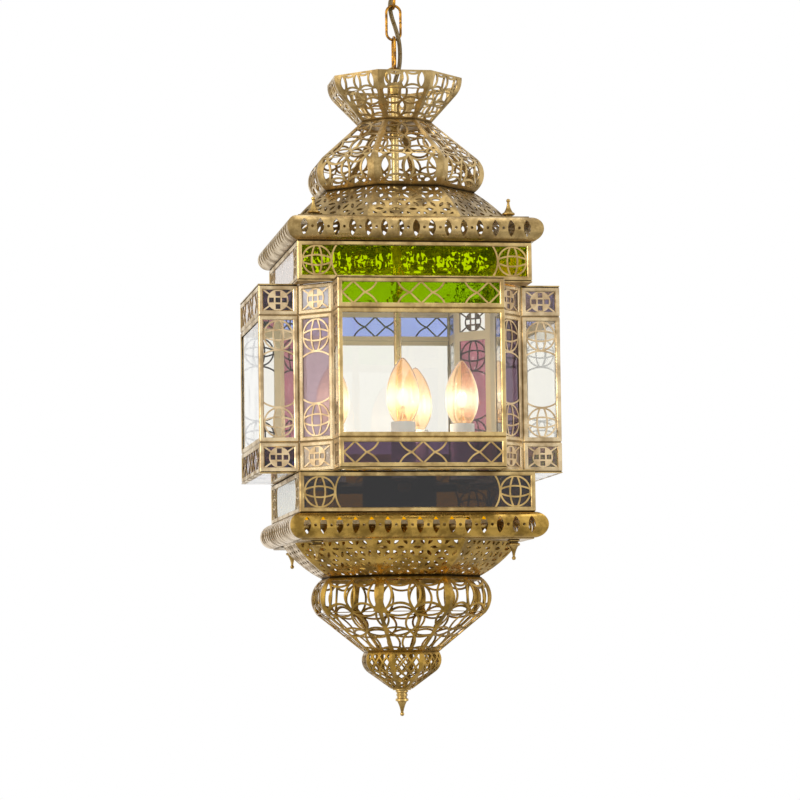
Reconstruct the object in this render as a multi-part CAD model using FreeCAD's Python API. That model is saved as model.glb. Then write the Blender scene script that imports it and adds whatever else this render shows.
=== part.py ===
"""A hanging lantern of pierced brass and coloured glass, with a chain, a flex and four candle bulbs.

Millimetres, +Z up. The origin is where the ceiling plate meets the ceiling, and the lantern hangs
below it. The front bay faces -Y.
"""
import FreeCAD
import Part
import os
from math import cos, hypot, pi, radians, sin, sqrt, tan
from FreeCAD import Placement, Rotation, Vector

# Levels, from the ceiling down
BODY_TOP = -400.0
CROWN_RIM = BODY_TOP + 230.5
NECK = BODY_TOP + 184.0
SHOULDER_SEAT = BODY_TOP + 106.5
GALLERY_TOP = BODY_TOP + 67.5
UPPER_BAND_TOP = BODY_TOP + 42.0
TOP_SEAM = BODY_TOP - 31.2
LOW_SEAM = BODY_TOP - 162.3
BODY_FOOT = BODY_TOP - 193.2
LOWER_BAND_FOOT = BODY_TOP - 236.4
GALLERY_FOOT = BODY_TOP - 263.0
BELLY_SEAT = BODY_TOP - 299.0
DROP_SEAT = BODY_TOP - 377.0
DROP_FOOT = BODY_TOP - 415.5
LOWEST = BODY_TOP - 444.0

# Plan of the glazed body: four bays on a square, with a slanting pane in each inner corner
BAY_REACH = 158.0
BAY_HALF = 86.0
CORNER_REACH = 117.0
BAND_HALF = 122.0

# Sheet, came and glass
SHEET = 1.4
PLATE = 1.2
CAME = 5.0
CAME_DEPTH = 4.0
CAME_ROUND = (1.3, 1.1)
LIP_ROUND = (0.9, 0.6)
LAP = 1.2
FRET_FRONT = 0.9
GLASS_FRONT = 1.6
GLASS_BACK = 3.4
SLOT_ROOM = 0.05
STROKE = 1.7
FINE_STROKE = 1.6

# Pierced work on the eight-sided domes
FACETS = 8
FACET_TAN = tan(pi / FACETS)
WIDE_RIB = 3.6
RIB = 2.4
LINE = 2.2
FINE_LINE = 1.6
EDGE_BAND = 2.2
SEAM_BAND = 0.6
WIDE_BAND = 4.6
LEAST_HOLE = 3.0
DRILL_REACH = 20.0

# Outlines of the domes, as apothems: necks, seats and the widest places
NECK_APOTHEM = 37.4
SHOULDER_APOTHEM = 79.0
SKIRT_APOTHEM = 118.6
CROWN_APOTHEM = 68.2
DROP_APOTHEM = 37.6
TAIL_APOTHEM = 10.7

# Galleries
GALLERY_BULGE = 133.0
GALLERY_EDGE = 119.0
GALLERY_FLANGE = 112.0
GALLERY_SHEET = 1.0
SLOTS = 15
SLOT_PITCH = 16.5
SLOT_SIZE = (17.5, 7.4)
PIN_HOLE = 1.5
FINIAL_PLACE = 102.0
GUSSET_EDGE = 120.0
GUSSET_ROOM = 0.3

# Chain, loops and flex
LINK_LENGTH = 40.0
LINK_WIDTH = 18.0
WIRE = 2.8
LINK_PLAY = 0.2
LOOP_RADIUS = 8.75
LOOP_WIRE = 3.5
BOSS_RADIUS = 7.5
FLEX = 4.6
FLEX_BORE = 3.4
LOWEST_LINK_TOP = BODY_TOP + 280.0

# The way the flex weaves through the links, and the levels where its lengths meet
FLEX_ROUTE = (
    (0.0, 0.0, BODY_TOP + 367.0),
    (0.1, 0.2, BODY_TOP + 357.5),
    (5.2, 5.2, BODY_TOP + 343.8),
    (0.6, 1.2, BODY_TOP + 328.0),
    (-4.6, 4.8, BODY_TOP + 311.5),
    (4.8, -4.8, BODY_TOP + 277.5),
    (6.2, -5.4, BODY_TOP + 259.0),
    (4.8, -4.8, BODY_TOP + 243.0),
    (0.8, -0.6, BODY_TOP + 232.0),
    (0.0, 0.0, BODY_TOP + 224.0),
)
FLEX_CUTS = (BODY_TOP + 328.5, BODY_TOP + 294.0, BODY_TOP + 259.5)

# Ceiling fitting
CANOPY_RADIUS = 60.0
CANOPY_DEPTH = 28.0
BAR_SIZE = (92.0, 20.0, 2.0)
SCREW_SPACING = 70.0
SCREW_HOLE = 2.4
NIPPLE = 5.0
LOCKNUT = 8.4
LOCKNUT_DEPTH = 4.0
FIT = 0.1

# Stem and lamp cluster
NECK_PLATE = 35.6
STEM = 4.0
HUB_RADIUS = 39.0
HUB_TOP = BODY_TOP - 190.0
HUB_FOOT = BODY_TOP - 224.0
ARM_LEVEL = BODY_TOP - 206.0
ARM_RADIUS = 4.0
SLEEVE_RADIUS = 12.8
SLEEVE_TOP = BODY_TOP - 139.0
CUP_TOP = BODY_TOP - 198.0
CUP_RADIUS = 15.2
BULB_HEIGHT = 67.0
BULB_RADIUS = 17.5
BULB_NOSE = 3.4
CAP_RADIUS = 7.0
GLASS_WALL = 0.8

# The four arms, bent by hand: reach from the stem, and the way each points in plan
ARMS = ((55.0, -94.0), (70.0, -26.0), (55.0, 61.0), (69.0, 171.0))

# Door in the rear bay
DOOR_ROOM = 0.3
HINGE_OFF = 2.0
HINGE_RADIUS = 2.4
HINGE_PIN = 1.0
HINGE_LEVELS = (BODY_TOP - 62.0, BODY_TOP - 132.0)
KNUCKLE = 7.0
LEAF = 0.8
LEAF_REACH = 5.0
REAR_BAY = 8

# Glass colours, bay by bay: bay, its side, the corner pane, the next bay's side
TOP_ROW = (
    "green", "rose", "rose", "slate", "blue", "slate", "clear", "purple",
    "blue", "slate", "blue", "rose", "opal", "purple", "blue", "rose",
)
MAIN_ROW = (
    "clear", "clear", "purple", "clear", "clear", "clear", "rose", "clear",
    "clear", "clear", "rose", "clear", "clear", "clear", "purple", "clear",
)
LOW_ROW = (
    "purple", "rose", "rose", "slate", "green", "slate", "rose", "purple",
    "amber", "slate", "blue", "rose", "rose", "purple", "rose", "rose",
)
UPPER_BAND = ("green", "amber", "clear", "opal")
LOWER_BAND = ("purple", "slate", "amber", "opal")

UP = Vector(0, 0, 1)
ORIGIN = Vector(0, 0, 0)


def spot(pair, z=0.0):
    return Vector(pair[0], pair[1], z)


def end_of(step):
    return step[1] if isinstance(step[0], tuple) else step


def path_edges(start, steps, to_vector):
    """Edges from start along steps: a point is a line's end, a pair of points an arc through the first."""
    edges = []
    here = to_vector(start)
    for step in steps:
        if isinstance(step[0], tuple):
            middle, end = (to_vector(p) for p in step)
            edges.append(Part.Arc(here, middle, end).toShape())
        else:
            end = to_vector(step)
            edges.append(Part.LineSegment(here, end).toShape())
        here = end
    return edges


def closed_face(start, steps, to_vector=spot):
    """A face inside an outline, closed by a straight edge where its last step doesn't reach the start."""
    edges = path_edges(start, steps, to_vector)
    first, last = edges[0].firstVertex().Point, to_vector(end_of(steps[-1]))
    if (last - first).Length > 1e-6:
        edges.append(Part.LineSegment(last, first).toShape())
    return Part.Face(Part.Wire(edges))


def upright(pair):
    return Vector(pair[0], 0, pair[1])


def turned(start, *steps):
    """A solid of revolution about Z from a closed outline of (radius, z)."""
    return closed_face(start, steps, upright).revolve(ORIGIN, UP, 360)


def ball(neck, radius, tip, side):
    """The steps of an outline from a narrow neck round a ball to its tip on the axis."""
    middle = tip - side * radius
    return (neck, middle - side * sqrt(radius**2 - neck**2)), ((radius, middle), (0, tip))


def tube(radius, bore, low, high):
    return turned((bore, low), (radius, low), (radius, high), (bore, high))


def cylinder(radius, low, high, at=(0, 0)):
    return Part.makeCylinder(radius, high - low, spot(at, low))


def moved(shape, x=0.0, y=0.0, z=0.0):
    copy = shape.copy()
    copy.translate(Vector(x, y, z))
    return copy


def spun(shape, degrees):
    copy = shape.copy()
    copy.rotate(ORIGIN, UP, degrees)
    return copy


def around(shape, count, first=0.0):
    return [spun(shape, first + 360.0 * i / count) for i in range(count)]


def export(node, solids):
    whole = Part.makeCompound([s for shape in solids for s in shape.Solids])
    whole.exportStep(f"parts/{node}.step")


# Flat outlines for pierced work and fretwork, in a panel's own plane


def disc(radius, at=(0, 0)):
    return Part.Face(Part.Wire(Part.makeCircle(radius, spot(at))))


def ring(at, radius, width):
    return disc(radius + width / 2, at).cut(disc(radius - width / 2, at))


def rectangle(width, height, at=(0, 0)):
    w, h = width / 2, height / 2
    x, y = at
    return closed_face((x - w, y - h), [(x + w, y - h), (x + w, y + h), (x - w, y + h)])


def leaf(at, length, width, angle=90.0):
    """A pointed oval between two arcs, its points along the angle."""
    along = (cos(radians(angle)), sin(radians(angle)))

    def place(a, b):
        return (at[0] + a * along[0] - b * along[1], at[1] + a * along[1] + b * along[0])

    tips = place(-length / 2, 0), place(length / 2, 0)
    sides = place(0, width / 2), place(0, -width / 2)
    return closed_face(tips[0], [(sides[0], tips[1]), (sides[1], tips[0])])


def stroke(start, end, width=STROKE):
    run = hypot(end[0] - start[0], end[1] - start[1])
    nx = (start[1] - end[1]) / run * width / 2
    ny = (end[0] - start[0]) / run * width / 2
    return closed_face(
        (start[0] + nx, start[1] + ny),
        [(end[0] + nx, end[1] + ny), (end[0] - nx, end[1] - ny), (start[0] - nx, start[1] - ny)],
    )


def bow(start, through, end, width=STROKE):
    """A curved strip of even width along the arc through three points."""
    circle = Part.Arc(spot(start), spot(through), spot(end)).toShape().Curve
    hub, radius = circle.Center, circle.Radius

    def off(point, shift):
        k = (radius + shift) / radius
        return (hub.x + (point[0] - hub.x) * k, hub.y + (point[1] - hub.y) * k)

    out = [off(p, width / 2) for p in (start, through, end)]
    inn = [off(p, -width / 2) for p in (end, through, start)]
    return closed_face(out[0], [(out[1], out[2]), inn[0], (inn[1], inn[2])])


def globe(at, radius):
    """A ring with two upright and two level bows, like the lines on a globe."""
    x, y = at
    near, far = 0.14 * radius, 0.36 * radius
    parts = [ring(at, radius, STROKE)]
    for side in (-1, 1):
        tall = [(x + side * near, y - radius), (x + side * far, y), (x + side * near, y + radius)]
        wide = [(x - radius, y + side * near), (x, y + side * far), (x + radius, y + side * near)]
        parts += [bow(*tall), bow(*wide)]
    return parts


def circle_cells(window, pitch, line, shift=0.0):
    """The holes between overlapping circles on a square grid: upright and level leaves, and stars."""
    radius = pitch / sqrt(2)
    inner, outer = radius - line / 2, radius + line / 2
    length = 2 * sqrt(inner**2 - pitch**2 / 4)
    width = 2 * inner - pitch
    waist = pitch - outer
    tip = (pitch - sqrt(2 * outer**2 - pitch**2)) / 2
    box = window.BoundBox
    columns = range(int(box.XMin // pitch) - 1, int(box.XMax // pitch) + 2)
    rows = range(int((box.YMin - shift) // pitch) - 1, int((box.YMax - shift) // pitch) + 2)
    for i in columns:
        for j in rows:
            x, y = i * pitch, j * pitch + shift
            half = pitch / 2
            yield leaf((x, y + half), length, width, 90)
            yield leaf((x + half, y), length, width, 0)
            sx, sy = x + half, y + half
            corners = [(sx + a * tip, sy + b * tip) for a, b in ((1, 1), (-1, 1), (-1, -1))]
            middles = [(sx + a * waist, sy + b * waist) for a, b in ((1, 0), (0, 1), (-1, 0), (0, -1))]
            start = (sx + tip, sy - tip)
            yield closed_face(start, [*zip(middles[:3], corners)] + [(middles[3], start)])


def leaf_cells(window, pitch, line, shift=0.0):
    """Small leaves along the sides of equal triangles, like scattered six-leaved flowers."""
    rise = pitch * sqrt(3) / 2
    box = window.BoundBox
    across = int(box.XMax // pitch) + 2
    for j in range(int(box.YMin // rise) - 1, int(box.YMax // rise) + 2):
        for i in range(-across, across + 1):
            x = (i + 0.5 * (j % 2)) * pitch
            y = j * rise + shift
            for angle in (0, 60, 120):
                a = radians(angle)
                at = (x + cos(a) * pitch / 2, y + sin(a) * pitch / 2)
                yield leaf(at, pitch - 2 * line, 0.22 * pitch, angle)


def diamond_cells(window, pitch, line, shift=0.0):
    """A net of upright diamonds."""
    wide, tall = pitch, 1.3 * pitch
    w, h = wide / 2 - 0.7 * line, tall / 2 - 0.9 * line
    box = window.BoundBox
    for j in range(int(box.YMin // (tall / 2)) - 1, int(box.YMax // (tall / 2)) + 2):
        for i in range(int(box.XMin // wide) - 1, int(box.XMax // wide) + 2):
            x, y = (i + 0.5 * (j % 2)) * wide, j * tall / 2 + shift
            yield closed_face((x - w, y), [(x, y - h), (x + w, y), (x, y + h)])


# Eight-sided domes


def facing(at, across, along):
    """A placement with its x axis across, its y axis along, and its z axis out of the surface."""
    return Placement(at, Rotation(across, along, across.cross(along), "XYZ"))


def zone_drill(rib, low, high, bands, cells, pitch, line, shift):
    """The prisms that pierce one zone of a facet, between two (apothem, z) places on its outside.

    The bands are the plain widths left at its foot and its head, and the rib is that at its sides.
    """
    length = hypot(high[0] - low[0], high[1] - low[1])
    bottom, top = bands[0] - length / 2, length / 2 - bands[1]

    def half_at(v):
        apothem = low[0] + (high[0] - low[0]) * (v / length + 0.5)
        return apothem * FACET_TAN - rib

    a, b = half_at(bottom), half_at(top)
    window = closed_face((-a, bottom), [(a, bottom), (b, top), (-b, top)])
    along = Vector(0, low[0] - high[0], high[1] - low[1]).normalize()
    middle = Vector(0, -(low[0] + high[0]) / 2, (low[1] + high[1]) / 2)
    place = facing(middle, Vector(1, 0, 0), along)
    prisms = []
    for cell in cells(window, pitch, line, shift):
        if not cell.BoundBox.intersect(window.BoundBox):
            continue
        for face in cell.common(window).Faces:
            if face.Area < LEAST_HOLE:
                continue
            prism = moved(face, z=-DRILL_REACH / 2).extrude(Vector(0, 0, DRILL_REACH))
            prism.Placement = place.multiply(prism.Placement)
            prisms.append(prism)
    return prisms


def dome(start, steps, zones, rib=RIB):
    """Eight pierced facets, each a bent sheet whose outside follows an outline of (apothem, z)."""
    reach = 200.0

    def front(pair):
        return Vector(0, -pair[0], pair[1])

    outside = path_edges(start, steps, front)
    inside = [moved(e, y=SHEET) for e in outside]
    ends = [
        Part.LineSegment(outside[0].firstVertex().Point, inside[0].firstVertex().Point).toShape(),
        Part.LineSegment(outside[-1].lastVertex().Point, inside[-1].lastVertex().Point).toShape(),
    ]
    wire = Part.Wire(Part.__sortEdges__(outside + inside + ends))
    sheet = moved(Part.Face(wire), x=-reach).extrude(Vector(2 * reach, 0, 0))
    wide = reach * FACET_TAN
    wedge = closed_face((0, 0), [(-wide, -reach), (wide, -reach)])
    box = sheet.BoundBox
    wedge = moved(wedge, z=box.ZMin - 1).extrude(Vector(0, 0, box.ZLength + 2))
    facet = sheet.common(wedge)
    drills = [p for zone in zones for p in zone_drill(rib, *zone)]
    return around(facet.cut(drills).Solids[0], FACETS)


def make_crown():
    bend = (62.6, NECK + 28.0)
    return dome(
        (NECK_APOTHEM, NECK),
        [(61.5, NECK + 27.0), ((66.6, NECK + 35.5), (CROWN_APOTHEM, CROWN_RIM))],
        [
            ((NECK_APOTHEM, NECK), bend, (EDGE_BAND, SEAM_BAND), circle_cells, 19.0, LINE, 4.0),
            (bend, (CROWN_APOTHEM, CROWN_RIM), (SEAM_BAND, EDGE_BAND), circle_cells, 18.6, LINE, -9.3),
        ],
        WIDE_RIB,
    )


def make_upper_bulb():
    seat = SHOULDER_SEAT
    bend = (84.6, seat + 33.6)
    return dome(
        (SHOULDER_APOTHEM, seat),
        [((88.9, seat + 16.0), (82.5, seat + 36.0)), (NECK_APOTHEM, NECK)],
        [
            ((SHOULDER_APOTHEM, seat), bend, (WIDE_BAND, SEAM_BAND), circle_cells, 25.0, LINE, -10.5),
            (bend, (NECK_APOTHEM, NECK), (SEAM_BAND, EDGE_BAND), circle_cells, 24.0, LINE, 0.0),
        ],
        WIDE_RIB,
    )


def make_roof_skirt():
    low, high = (SKIRT_APOTHEM, GALLERY_TOP), (SHOULDER_APOTHEM, SHOULDER_SEAT)
    return dome(
        low,
        [((102.0, SHOULDER_SEAT - 19.5), high)],
        [(low, high, (WIDE_BAND, EDGE_BAND), leaf_cells, 17.5, 4.2, -1.0)],
    )


def make_lower_skirt():
    low, high = (SHOULDER_APOTHEM, BELLY_SEAT), (SKIRT_APOTHEM, GALLERY_FOOT)
    return dome(
        low,
        [((102.0, BELLY_SEAT + 16.5), high)],
        [(low, high, (EDGE_BAND, EDGE_BAND), leaf_cells, 17.5, 4.2, 1.0)],
    )


def make_lower_bulb():
    seat = BELLY_SEAT
    bend = (85.4, seat - 37.2)
    return dome(
        (DROP_APOTHEM, DROP_SEAT),
        [(84.0, seat - 38.5), ((90.2, seat - 24.0), (SHOULDER_APOTHEM, seat))],
        [
            ((DROP_APOTHEM, DROP_SEAT), bend, (EDGE_BAND, SEAM_BAND), circle_cells, 31.0, LINE, 0.0),
            (bend, (SHOULDER_APOTHEM, seat), (SEAM_BAND, WIDE_BAND), circle_cells, 30.0, LINE, -17.0),
        ],
    )


def make_drop():
    seat = DROP_SEAT
    bend = (34.4, seat - 20.2)
    return dome(
        (TAIL_APOTHEM, DROP_FOOT),
        [(33.5, seat - 21.0), ((39.6, seat - 11.0), (DROP_APOTHEM, seat))],
        [
            ((TAIL_APOTHEM, DROP_FOOT), bend, (EDGE_BAND, SEAM_BAND), diamond_cells, 9.0, FINE_LINE, 0.0),
            (bend, (DROP_APOTHEM, seat), (SEAM_BAND, EDGE_BAND), diamond_cells, 9.0, FINE_LINE, 0.0),
        ],
    )


# Galleries, gussets and turned finials


def make_gallery(low, high):
    """Four half-round rails, pierced and mitred, with flanges that lie on the plates."""
    middle = (low + high) / 2
    t = GALLERY_SHEET

    def front(pair):
        return Vector(0, -pair[0], pair[1])

    section = closed_face(
        (GALLERY_FLANGE, low),
        [
            (GALLERY_EDGE, low),
            ((GALLERY_BULGE, middle), (GALLERY_EDGE, high)),
            (GALLERY_FLANGE, high),
            (GALLERY_FLANGE, high - t),
            (GALLERY_EDGE, high - t),
            ((GALLERY_BULGE - t, middle), (GALLERY_EDGE, low + t)),
            (GALLERY_FLANGE, low + t),
        ],
        front,
    )
    reach = GALLERY_BULGE + 2
    bar = moved(section, x=-reach).extrude(Vector(2 * reach, 0, 0))
    mitre = closed_face((0, 0), [(-reach, -reach), (reach, -reach)])
    bar = bar.common(moved(mitre, z=low).extrude(Vector(0, 0, high - low)))
    place = facing(Vector(0, -GALLERY_EDGE, middle), Vector(1, 0, 0), UP)
    holes = []
    for i in range(SLOTS):
        x = (i - (SLOTS - 1) / 2) * SLOT_PITCH
        holes.append(leaf((x, 0), *SLOT_SIZE))
        if i:
            holes.append(disc(PIN_HOLE, (x - SLOT_PITCH / 2, 0)))
    drills = []
    for hole in holes:
        prism = hole.extrude(Vector(0, 0, DRILL_REACH))
        prism.Placement = place.multiply(prism.Placement)
        drills.append(prism)
    return around(bar.cut(drills), 4)


def make_gussets(low):
    """Triangular plates that close the corners between the square gallery and the eight-sided dome."""
    edge = GUSSET_EDGE
    clear = (SKIRT_APOTHEM + GUSSET_ROOM) * sqrt(2)
    plate = closed_face((edge, edge), [(clear - edge, edge), (edge, clear - edge)])
    return around(moved(plate, z=low).extrude(Vector(0, 0, PLATE)), 4)


def finial():
    """A turned finial: two discs with a groove between them, a hollow cone and a small ball."""
    neck, tip = ball(1.2, 2.1, 21.0, 1)
    return turned(
        (0, 0),
        (5.6, 0),
        ((6.4, 1.0), (5.6, 2.0)),
        (4.2, 2.4),
        (4.2, 3.2),
        (5.8, 3.6),
        ((6.7, 4.9), (5.8, 6.2)),
        (4.6, 6.8),
        ((2.3, 11.5), neck),
        tip,
    )


def make_corner_finials():
    above = moved(finial(), FINIAL_PLACE, FINIAL_PLACE, GALLERY_TOP + PLATE)
    below = finial()
    below.rotate(ORIGIN, Vector(1, 0, 0), 180)
    below = moved(below, FINIAL_PLACE, FINIAL_PLACE, GALLERY_FOOT - PLATE)
    return around(above, 4) + around(below, 4)


# Framed glass panels


class Panel:
    """One upright panel: its outer and inner plan corners, its levels, and its own placement."""

    frets = {}

    def __init__(self, outer, inner, low, high, room=0.0):
        self.outer, self.inner = outer, inner
        self.low, self.high, self.room = low, high, room
        a, b = (spot(p) for p in outer)
        self.width = (b - a).Length
        self.height = high - low
        middle = (a + b) * 0.5
        middle.z = (low + high) / 2
        self.place = facing(middle, (b - a).normalize(), UP)

    def seat(self, shape):
        copy = shape.copy()
        copy.Placement = self.place.multiply(copy.Placement)
        return copy

    def slab(self, margin, front, back):
        """A block behind the outer face, as large as the panel less a margin all round."""
        face = rectangle(self.width - 2 * margin, self.height - 2 * margin)
        return self.seat(moved(face, z=-back).extrude(Vector(0, 0, back - front)))

    def taper(self, margin, spread):
        """A block with sloping sides in the front of the panel, narrower by the spread at its front."""
        change, depth = spread
        ends = []
        for shift, z in ((0, -depth), (change, 0)):
            width, height = self.width - 2 * (margin + shift), self.height - 2 * (margin + shift)
            ends.append(moved(rectangle(width, height), z=z).OuterWire)
        return self.seat(Part.makeLoft(ends, True, True))

    def frame(self):
        """The brass came: mitred, open in the middle, grooved for the glass, its front edges eased."""
        room = self.room
        along = self.place.Rotation.multVec(Vector(room * sqrt(2), 0, 0))
        corners = [self.outer[0], self.outer[1], self.inner[1], self.inner[0]]
        points = [(x + k * along.x, y + k * along.y) for (x, y), k in zip(corners, (1, -1, -1, 1))]
        foot = closed_face(points[0], points[1:])
        body = moved(foot, z=self.low + room).extrude(UP * (self.height - 2 * room))
        groove = self.slab(CAME - LAP - SLOT_ROOM, FRET_FRONT - SLOT_ROOM, GLASS_BACK + SLOT_ROOM)
        window = self.slab(CAME, -1, CAME_DEPTH + 1)
        rim = self.slab(-1, -1, CAME_ROUND[1]).cut(self.taper(room, CAME_ROUND))
        lip = self.taper(CAME, (-LIP_ROUND[0], LIP_ROUND[1]))
        return body.cut([window, groove, rim, lip])

    def glass(self):
        return self.slab(CAME - LAP, GLASS_FRONT, GLASS_BACK)

    def fret(self, design):
        """A brass fret in front of the glass: a border under the came, and strokes across the window."""
        key = (design, round(self.width, 3), round(self.height, 3))
        if key not in Panel.frets:
            plate = rectangle(self.width - 2 * (CAME - LAP), self.height - 2 * (CAME - LAP))
            border = plate.cut(rectangle(self.width - 2 * CAME, self.height - 2 * CAME))
            flat = [border] + [s.common(plate) for s in design(self)]
            lift = Vector(0, 0, GLASS_FRONT - FRET_FRONT)
            strips = [moved(face, z=-GLASS_FRONT).extrude(lift) for face in flat]
            Panel.frets[key] = strips[0].multiFuse(strips[1:]).removeSplitter()
        return self.seat(Panel.frets[key])


def offset_corners(points, depth):
    """The corners of a closed outline set back by a depth, with mitres at convex and hollow corners."""
    result = []
    count = len(points)
    for i, here in enumerate(points):
        before, after = points[i - 1], points[(i + 1) % count]
        normals = []
        for a, b in ((before, here), (here, after)):
            run = hypot(b[0] - a[0], b[1] - a[1])
            normals.append(((a[1] - b[1]) / run, (b[0] - a[0]) / run))
        (ax, ay), (bx, by) = normals
        k = depth / (1 + ax * bx + ay * by)
        result.append((here[0] + (ax + bx) * k, here[1] + (ay + by) * k))
    return result


def body_outline():
    quarter = [
        (-BAY_HALF, -BAY_REACH),
        (BAY_HALF, -BAY_REACH),
        (BAY_HALF, -CORNER_REACH),
        (CORNER_REACH, -BAY_HALF),
    ]
    points = []
    for _ in range(4):
        points += quarter
        quarter = [(-y, x) for x, y in quarter]
    return points


def panels_round(points, low, high):
    inner = offset_corners(points, CAME_DEPTH)
    count = len(points)
    sides = [(i, (i + 1) % count) for i in range(count)]
    return [Panel((points[i], points[j]), (inner[i], inner[j]), low, high) for i, j in sides]


def band_strokes(panel):
    """Two globes at the ends of a band, each with a bow that bounds the bare field."""
    half = panel.height / 2 - CAME
    radius = half - STROKE / 2 + 0.3
    end = panel.width / 2 - CAME - half
    strokes = []
    for side in (-1, 1):
        strokes += globe((side * end, 0), radius)
        touch = side * (end - half)
        lean = side * (end - half - 5.5)
        strokes.append(bow((lean, -half - 1), (touch, 0), (lean, half + 1)))
    return strokes


def tall_strokes(panel):
    """The same design for a tall pane: a globe at the top and at the foot."""
    half = panel.width / 2 - CAME
    radius = half - STROKE / 2 + 0.3
    end = panel.height / 2 - CAME - half
    strokes = []
    for side in (-1, 1):
        strokes += globe((0, side * end), radius)
        touch = side * (end - half)
        lean = side * (end - half - 5.5)
        strokes.append(bow((-half - 1, lean), (0, touch), (half + 1, lean)))
    return strokes


def bay_strokes(panel):
    """Three diamonds along a strip, joined by bows that cross between them."""
    high = panel.height / 2 - CAME + 0.6
    wide = panel.width / 2 - CAME
    half, arm = 11.5, 13.0
    strokes = []
    for x in (-wide + half, 0, wide - half):
        for side in (-1, 1):
            tip = x + side * half
            for rise in (-1, 1):
                strokes.append(stroke((x, rise * high), (tip, 0)))
                if abs(tip) < wide - 1:
                    middle = (tip + side * 0.62 * arm, rise * 0.42 * high)
                    strokes.append(bow((tip, 0), middle, (tip + side * arm, rise * (high + 1))))
    return strokes


def square_strokes(panel):
    """A disc with five small windows in a cross, and lines from it to the panel's corners."""
    wide, high = panel.width / 2 - CAME, panel.height / 2 - CAME
    radius = high + 0.3
    pitch, pane = 0.62 * radius, 0.46 * radius
    places = [(0, 0), (pitch, 0), (-pitch, 0), (0, pitch), (0, -pitch)]
    strokes = [disc(radius).cut([rectangle(pane, pane, at) for at in places])]
    k = (radius - 1) / hypot(wide, high)
    for side in (-1, 1):
        for rise in (-1, 1):
            inner = (side * wide * k, rise * high * k)
            strokes.append(stroke(inner, (side * (wide + 1), rise * (high + 1)), FINE_STROKE))
    return strokes


def make_panels():
    """Every came, pane and fret of the bands and the body, sorted into nodes."""
    nodes = {}

    def add(node, shape):
        nodes.setdefault(node, []).append(shape)

    square = [(a * BAND_HALF, b * BAND_HALF) for a, b in ((-1, -1), (1, -1), (1, 1), (-1, 1))]
    bands = (
        (BODY_TOP + PLATE, UPPER_BAND_TOP, UPPER_BAND),
        (LOWER_BAND_FOOT, BODY_FOOT - PLATE, LOWER_BAND),
    )
    for low, high, colours in bands:
        for panel, colour in zip(panels_round(square, low, high), colours):
            add("band_cames", panel.frame())
            add(f"glass_{colour}", panel.glass())
            add("band_frets", panel.fret(band_strokes))

    rows = (
        (TOP_SEAM, BODY_TOP, TOP_ROW),
        (LOW_SEAM, TOP_SEAM, MAIN_ROW),
        (BODY_FOOT, LOW_SEAM, LOW_ROW),
    )
    for low, high, colours in rows:
        tall = colours is MAIN_ROW
        for i, panel in enumerate(panels_round(body_outline(), low, high)):
            bay = i % 4 == 0
            if tall and i == REAR_BAY:
                panel.room = DOOR_ROOM
                nodes["door_came"] = [panel.frame()]
                nodes["door_glass"] = [panel.glass()]
                continue
            add("bay_cames" if bay else "pier_cames", panel.frame())
            add(f"glass_{colours[i]}", panel.glass())
            if bay and not tall:
                add("bay_frets", panel.fret(bay_strokes))
            elif tall and not bay:
                add("pier_frets", panel.fret(tall_strokes))
            elif not tall:
                add("square_frets", panel.fret(square_strokes))
    return nodes


def make_ledges(low):
    """Plates that close the step between a square band and the bays, with a pane over each bay."""
    inner = BAND_HALF - CAME_DEPTH
    rim = 4.0
    depth = BAY_REACH - inner
    middle = -(BAY_REACH + inner) / 2
    bay = rectangle(2 * BAY_HALF, depth, (0, middle))
    opening = (2 * (BAY_HALF - rim), BAY_REACH - BAND_HALF - 2 * rim)
    centre = (0, -(BAY_REACH + BAND_HALF) / 2)
    bay = bay.cut(rectangle(*opening, centre))
    plate = moved(bay, z=low).extrude(UP * PLATE)
    pane = moved(rectangle(opening[0] - 0.1, opening[1] - 0.1, centre), z=low).extrude(UP * PLATE)
    corner = closed_face(
        (BAY_HALF, -BAND_HALF),
        [(BAND_HALF, -BAND_HALF), (BAND_HALF, -BAY_HALF), (inner, -BAY_HALF), (BAY_HALF, -inner)],
    )
    corner = moved(corner, z=low).extrude(UP * PLATE)
    return around(plate, 4) + around(corner, 4), around(pane, 4)


# Door hardware


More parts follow.
